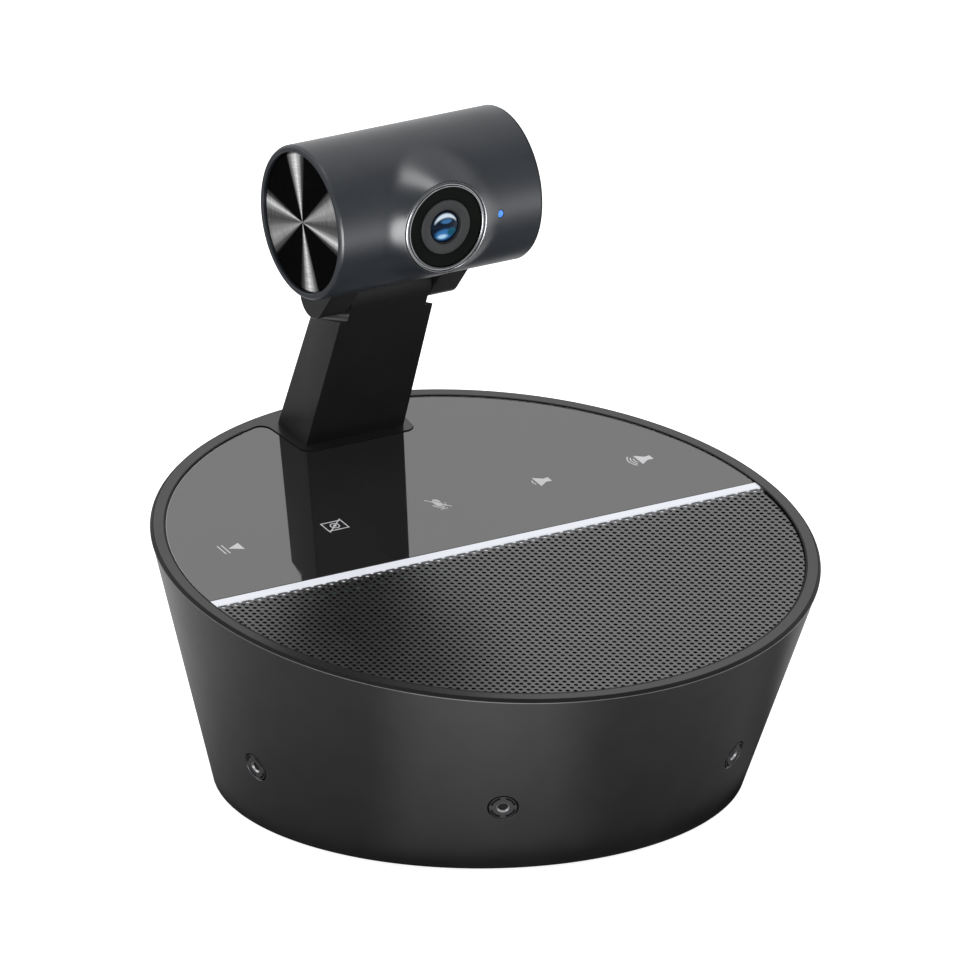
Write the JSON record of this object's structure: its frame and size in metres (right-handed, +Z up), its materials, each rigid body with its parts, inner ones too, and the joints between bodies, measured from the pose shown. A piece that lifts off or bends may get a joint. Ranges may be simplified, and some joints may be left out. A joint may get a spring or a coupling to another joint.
{
  "type": "conference speakerphone with camera",
  "caption": "Round leaning desk speakerphone with perforated grille, light bar, touch panel, wall microphones and a camera barrel that tilts on a short arm.",
  "frame": {"origin": "on the desk, under the middle of the top rim", "axes": "+Z up; the lens, the grille and the low side of the rim face -Y; +X is on the viewer's right when the viewer faces the lens"},
  "size_m": [0.1802, 0.1788, 0.1728],
  "materials": {
    "gloss_black_plastic": "glossy black",
    "head_black_plastic": "satin black",
    "base_black_plastic": "fine texture",
    "inner_black_plastic": "matt",
    "mic_plastic": "satin",
    "foot_rubber": "matt",
    "surround_rubber": "matt",
    "dark_steel": "blackened",
    "zinc_steel": "zinc plated",
    "basket_steel": "black coated",
    "shield_steel": "tinned",
    "sink_aluminium": "anodised",
    "capacitor_aluminium": "satin",
    "panel_glass": "polished, black backed",
    "icon_print": "white print",
    "light_diffuser": "milky, frosted",
    "led_white": "lit white",
    "led_blue": "lit blue",
    "grille_steel": "perforated, satin black",
    "acoustic_cloth": "black gauze",
    "magnet_iron": "ferrite",
    "cone_paper": "black pulp",
    "coil_copper": "copper wire",
    "circuit_board": "solder mask",
    "chip_plastic": "moulded",
    "header_plastic": "nylon",
    "cable_jacket": "matt",
    "spun_black_metal": "spun, black anodised",
    "dark_chrome": "dark polished",
    "window_black": "polished black",
    "bezel_grey": "satin dark grey",
    "coated_glass": "blue antireflection coating",
    "spacer_brass": "turned"
  },
  "bodies": {
    "base": {"arm_body": "gloss_black_plastic", "arm_bracket": "basket_steel", "arm_cable": "cable_jacket", "arm_cover": "gloss_black_plastic", "audio_jack": "inner_black_plastic", "base_plate": "base_black_plastic", "board_screws": "zinc_steel", "cable_header": "header_plastic", "capacitors": "capacitor_aluminium", "deck_plate": "inner_black_plastic", "deck_screws": "zinc_steel", "foot_ring": "foot_rubber", "foot_screws": "zinc_steel", "heat_sink": "sink_aluminium", "hinge_pin": "dark_steel", "housing": "gloss_black_plastic", "light_bar": "light_diffuser", "light_board": "circuit_board", "light_leds": "led_white", "main_board": "circuit_board", "mic_boards": "circuit_board", "mic_boots": "surround_rubber", "mic_capsules": "shield_steel", "mic_plugs": "mic_plastic", "plate_screws": "dark_steel", "processor": "chip_plastic", "shield_can": "shield_steel", "speaker_basket": "basket_steel", "speaker_cloth": "acoustic_cloth", "speaker_grille": "grille_steel", "speaker_magnet": "magnet_iron", "speaker_screws": "zinc_steel", "speaker_surround": "surround_rubber", "touch_board": "circuit_board", "touch_icons": "icon_print", "touch_panel": "panel_glass", "usb_socket": "shield_steel"},
    "head": {"head_shell": "head_black_plastic", "pin_cap": "head_black_plastic", "end_disc_left": "spun_black_metal", "end_disc_right": "spun_black_metal", "lens_ring": "dark_chrome", "lens_window": "window_black", "lens_barrel": "bezel_grey", "front_lens": "coated_glass", "inner_lenses": "coated_glass", "lens_holder": "inner_black_plastic", "image_sensor": "chip_plastic", "sensor_board": "circuit_board", "board_spacers": "spacer_brass", "video_board": "circuit_board", "video_chip": "chip_plastic", "head_chassis": "inner_black_plastic", "head_header": "header_plastic", "head_cable": "cable_jacket", "status_light": "led_blue", "friction_washers": "zinc_steel"},
    "cone": {"speaker_cone": "cone_paper", "voice_coil": "coil_copper", "dust_cap": "cone_paper"}
  },
  "joints": [
    {"name": "head_tilt", "type": "hinge", "parent": "base", "child": "head", "pos_m": [0, 0.0541, 0.1253], "axis": [1, 0, 0], "range_deg": [-25, 35]},
    {"name": "cone_travel", "type": "slide", "parent": "base", "child": "cone", "axis": [0, -0.138, 0.9904], "range_m": [-0.0012, 0.0012], "stiffness_N_per_m": 1500}
  ]
}
